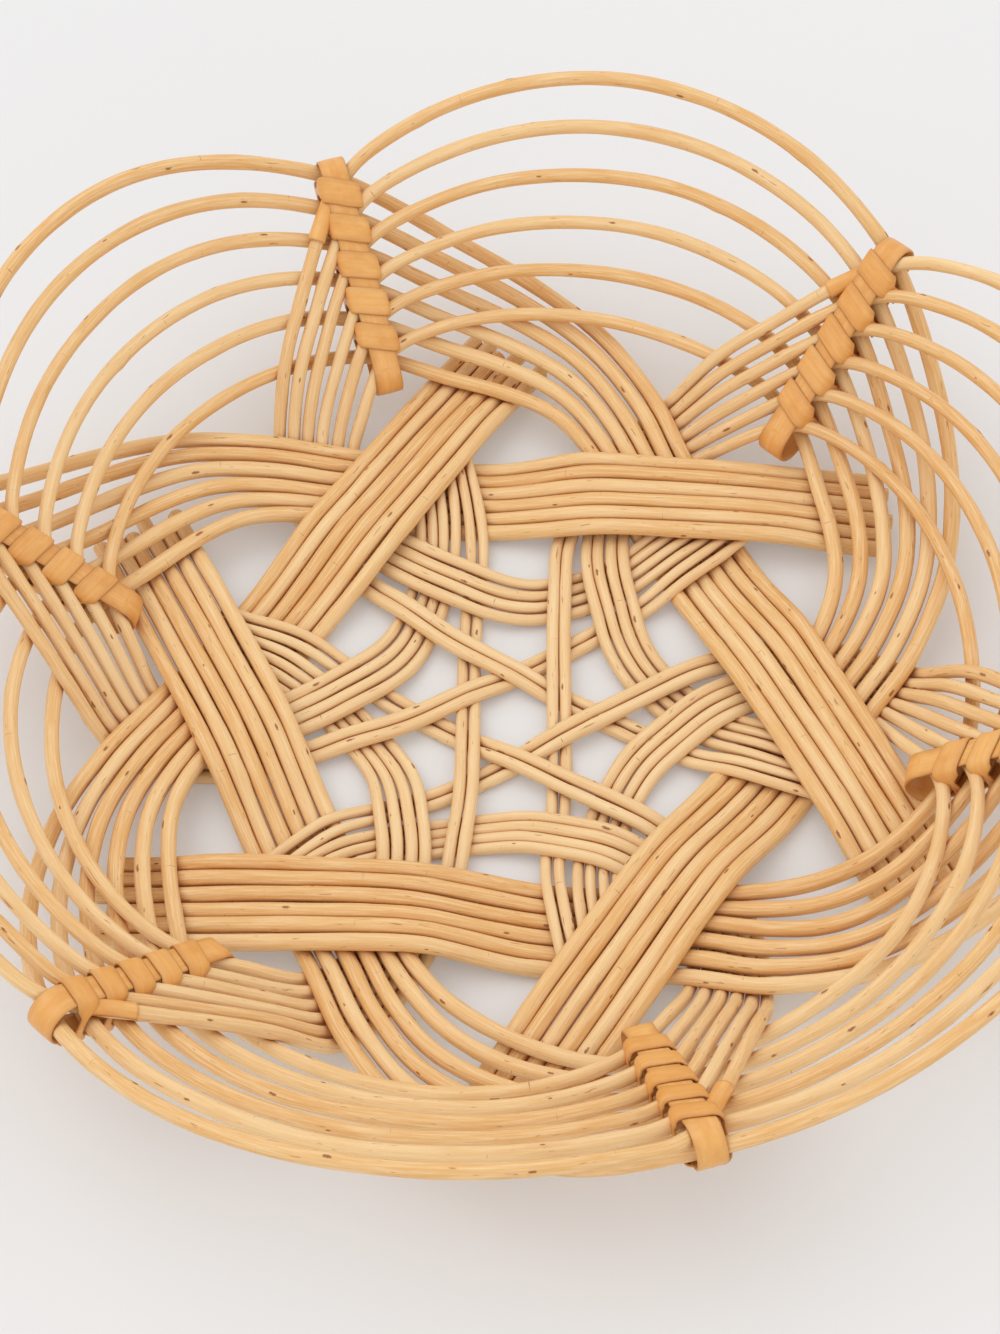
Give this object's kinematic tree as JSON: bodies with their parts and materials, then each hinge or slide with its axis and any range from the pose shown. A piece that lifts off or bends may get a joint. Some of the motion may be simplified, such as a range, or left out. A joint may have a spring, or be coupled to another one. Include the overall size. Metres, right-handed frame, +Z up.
{
  "type": "winnowing basket",
  "caption": "Round openwork basket of peeled willow rods, woven flat across the base in a six-pointed star, rising in looped petals tied with split willow.",
  "frame": {"origin": "on the table, under the middle of the base", "axes": "+Z up out of the bowl; the front, nearest the viewer, faces -Y; +X to the right"},
  "size_m": [0.3566, 0.3594, 0.0806],
  "materials": {
    "willow_rod": "peeled, dry, satin",
    "split_willow": "shaved smooth, satin"
  },
  "bodies": {
    "root": {"sheaf_1_rod_1": "willow_rod", "sheaf_1_rod_2": "willow_rod", "sheaf_1_rod_3": "willow_rod", "sheaf_1_rod_4": "willow_rod", "sheaf_1_rod_5": "willow_rod", "sheaf_1_rod_6": "willow_rod", "sheaf_2_rod_1": "willow_rod", "sheaf_2_rod_2": "willow_rod", "sheaf_2_rod_3": "willow_rod", "sheaf_2_rod_4": "willow_rod", "sheaf_2_rod_5": "willow_rod", "sheaf_2_rod_6": "willow_rod", "sheaf_3_rod_1": "willow_rod", "sheaf_3_rod_2": "willow_rod", "sheaf_3_rod_3": "willow_rod", "sheaf_3_rod_4": "willow_rod", "sheaf_3_rod_5": "willow_rod", "sheaf_3_rod_6": "willow_rod", "sheaf_4_rod_1": "willow_rod", "sheaf_4_rod_2": "willow_rod", "sheaf_4_rod_3": "willow_rod", "sheaf_4_rod_4": "willow_rod", "sheaf_4_rod_5": "willow_rod", "sheaf_4_rod_6": "willow_rod", "sheaf_5_rod_1": "willow_rod", "sheaf_5_rod_2": "willow_rod", "sheaf_5_rod_3": "willow_rod", "sheaf_5_rod_4": "willow_rod", "sheaf_5_rod_5": "willow_rod", "sheaf_5_rod_6": "willow_rod", "sheaf_6_rod_1": "willow_rod", "sheaf_6_rod_2": "willow_rod", "sheaf_6_rod_3": "willow_rod", "sheaf_6_rod_4": "willow_rod", "sheaf_6_rod_5": "willow_rod", "sheaf_6_rod_6": "willow_rod", "binding_backbone_1": "split_willow", "binding_backbone_2": "split_willow", "binding_backbone_3": "split_willow", "binding_backbone_4": "split_willow", "binding_backbone_5": "split_willow", "binding_backbone_6": "split_willow", "binding_wraps_1": "split_willow", "binding_wraps_2": "split_willow", "binding_wraps_3": "split_willow", "binding_wraps_4": "split_willow", "binding_wraps_5": "split_willow", "binding_wraps_6": "split_willow"}
  },
  "joints": []
}
